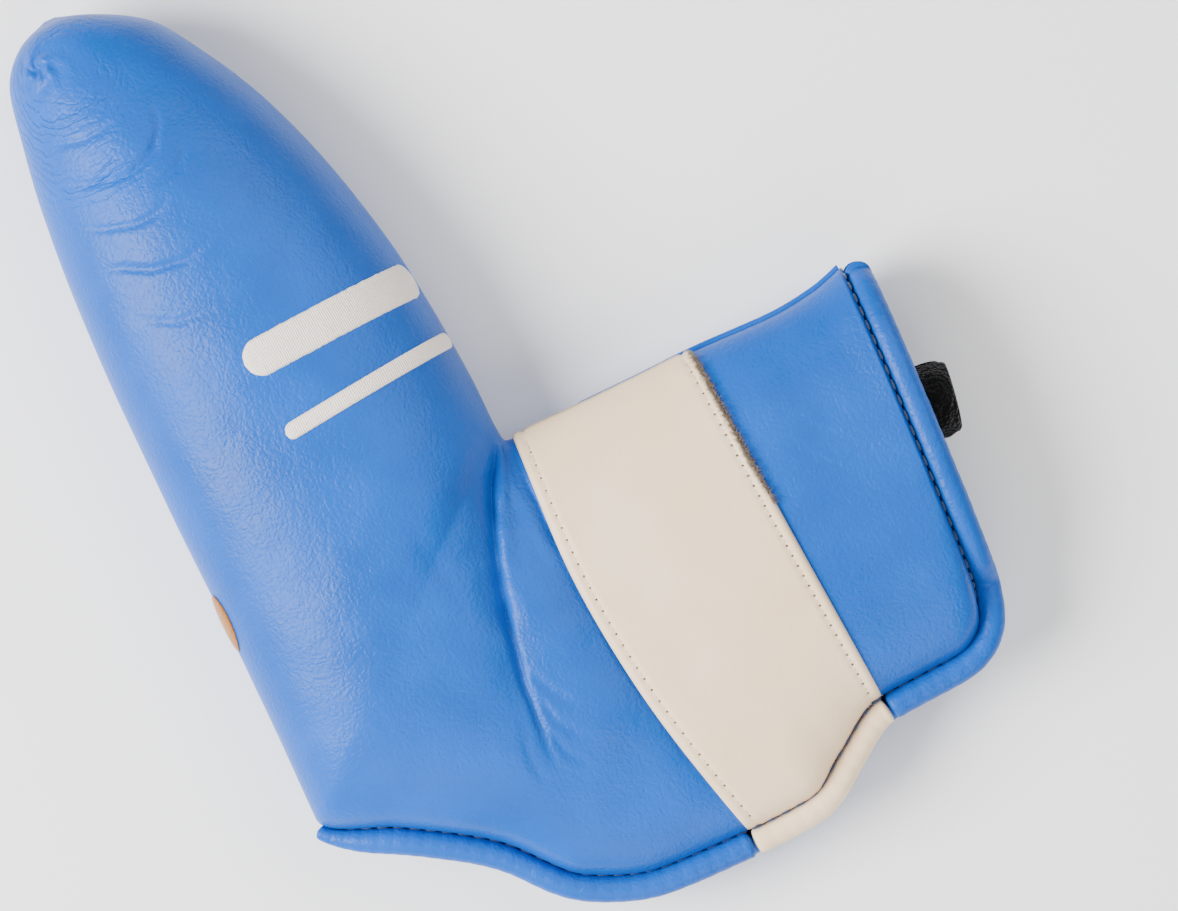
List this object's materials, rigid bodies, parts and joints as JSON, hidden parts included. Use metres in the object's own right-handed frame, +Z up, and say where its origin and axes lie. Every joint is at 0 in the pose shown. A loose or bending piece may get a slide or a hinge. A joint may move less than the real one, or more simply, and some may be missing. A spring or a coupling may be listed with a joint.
{
  "type": "putter head cover",
  "caption": "Padded leather-look L-shaped cover for a blade putter head, with a light band round the neck, a plush sleeve for the shaft and a front flap that opens about the spine.",
  "frame": {"origin": "middle of the whole cover's box, on the flat underside it rests on", "axes": "+X along the neck towards the collar, +Y along the blade pocket towards the toe, +Z up through the cover from rear to front"},
  "size_m": [0.1696, 0.232, 0.0418],
  "materials": {
    "blue_leather": "semi-gloss, fine pebble grain",
    "cream_leather": "satin, fine grain",
    "cream_thread": "satin-stitch embroidery",
    "gold_thread": "satin-stitch embroidery",
    "navy_thread": "bonded sewing thread",
    "ecru_thread": "sewing thread",
    "black_fleece": "short plush pile",
    "grey_foam": "open-cell foam",
    "black_loop": "loop side of a hook-and-loop closure",
    "black_hook": "hook side of a hook-and-loop closure"
  },
  "bodies": {
    "pocket": {"rear_panel": "blue_leather", "rear_foam": "grey_foam", "rear_lining": "black_fleece", "rear_hem": "blue_leather", "rear_hem_thread": "navy_thread", "spine_welt": "blue_leather", "loop_patch": "black_loop", "rear_shaft_sleeve": "black_fleece", "pocket_panel": "blue_leather", "pocket_foam": "grey_foam", "pocket_lining": "black_fleece", "heel_hem": "blue_leather", "heel_hem_thread": "navy_thread", "wide_bar": "cream_thread", "narrow_bar": "cream_thread", "sole_badge": "gold_thread"},
    "flap": {"flap_panel": "blue_leather", "flap_foam": "grey_foam", "flap_lining": "black_fleece", "neck_hem": "blue_leather", "band_hem": "cream_leather", "collar_hem": "blue_leather", "flap_hem_thread": "navy_thread", "band": "cream_leather", "band_left_thread": "ecru_thread", "band_right_thread": "ecru_thread", "hook_patch": "black_hook", "front_shaft_sleeve": "black_fleece"}
  },
  "joints": [
    {"name": "flap_hinge", "type": "hinge", "parent": "pocket", "child": "flap", "pos_m": [0.03364, -0.00698, 0.0162], "axis": [-1, 0, 0], "range_deg": [0, 60]}
  ]
}
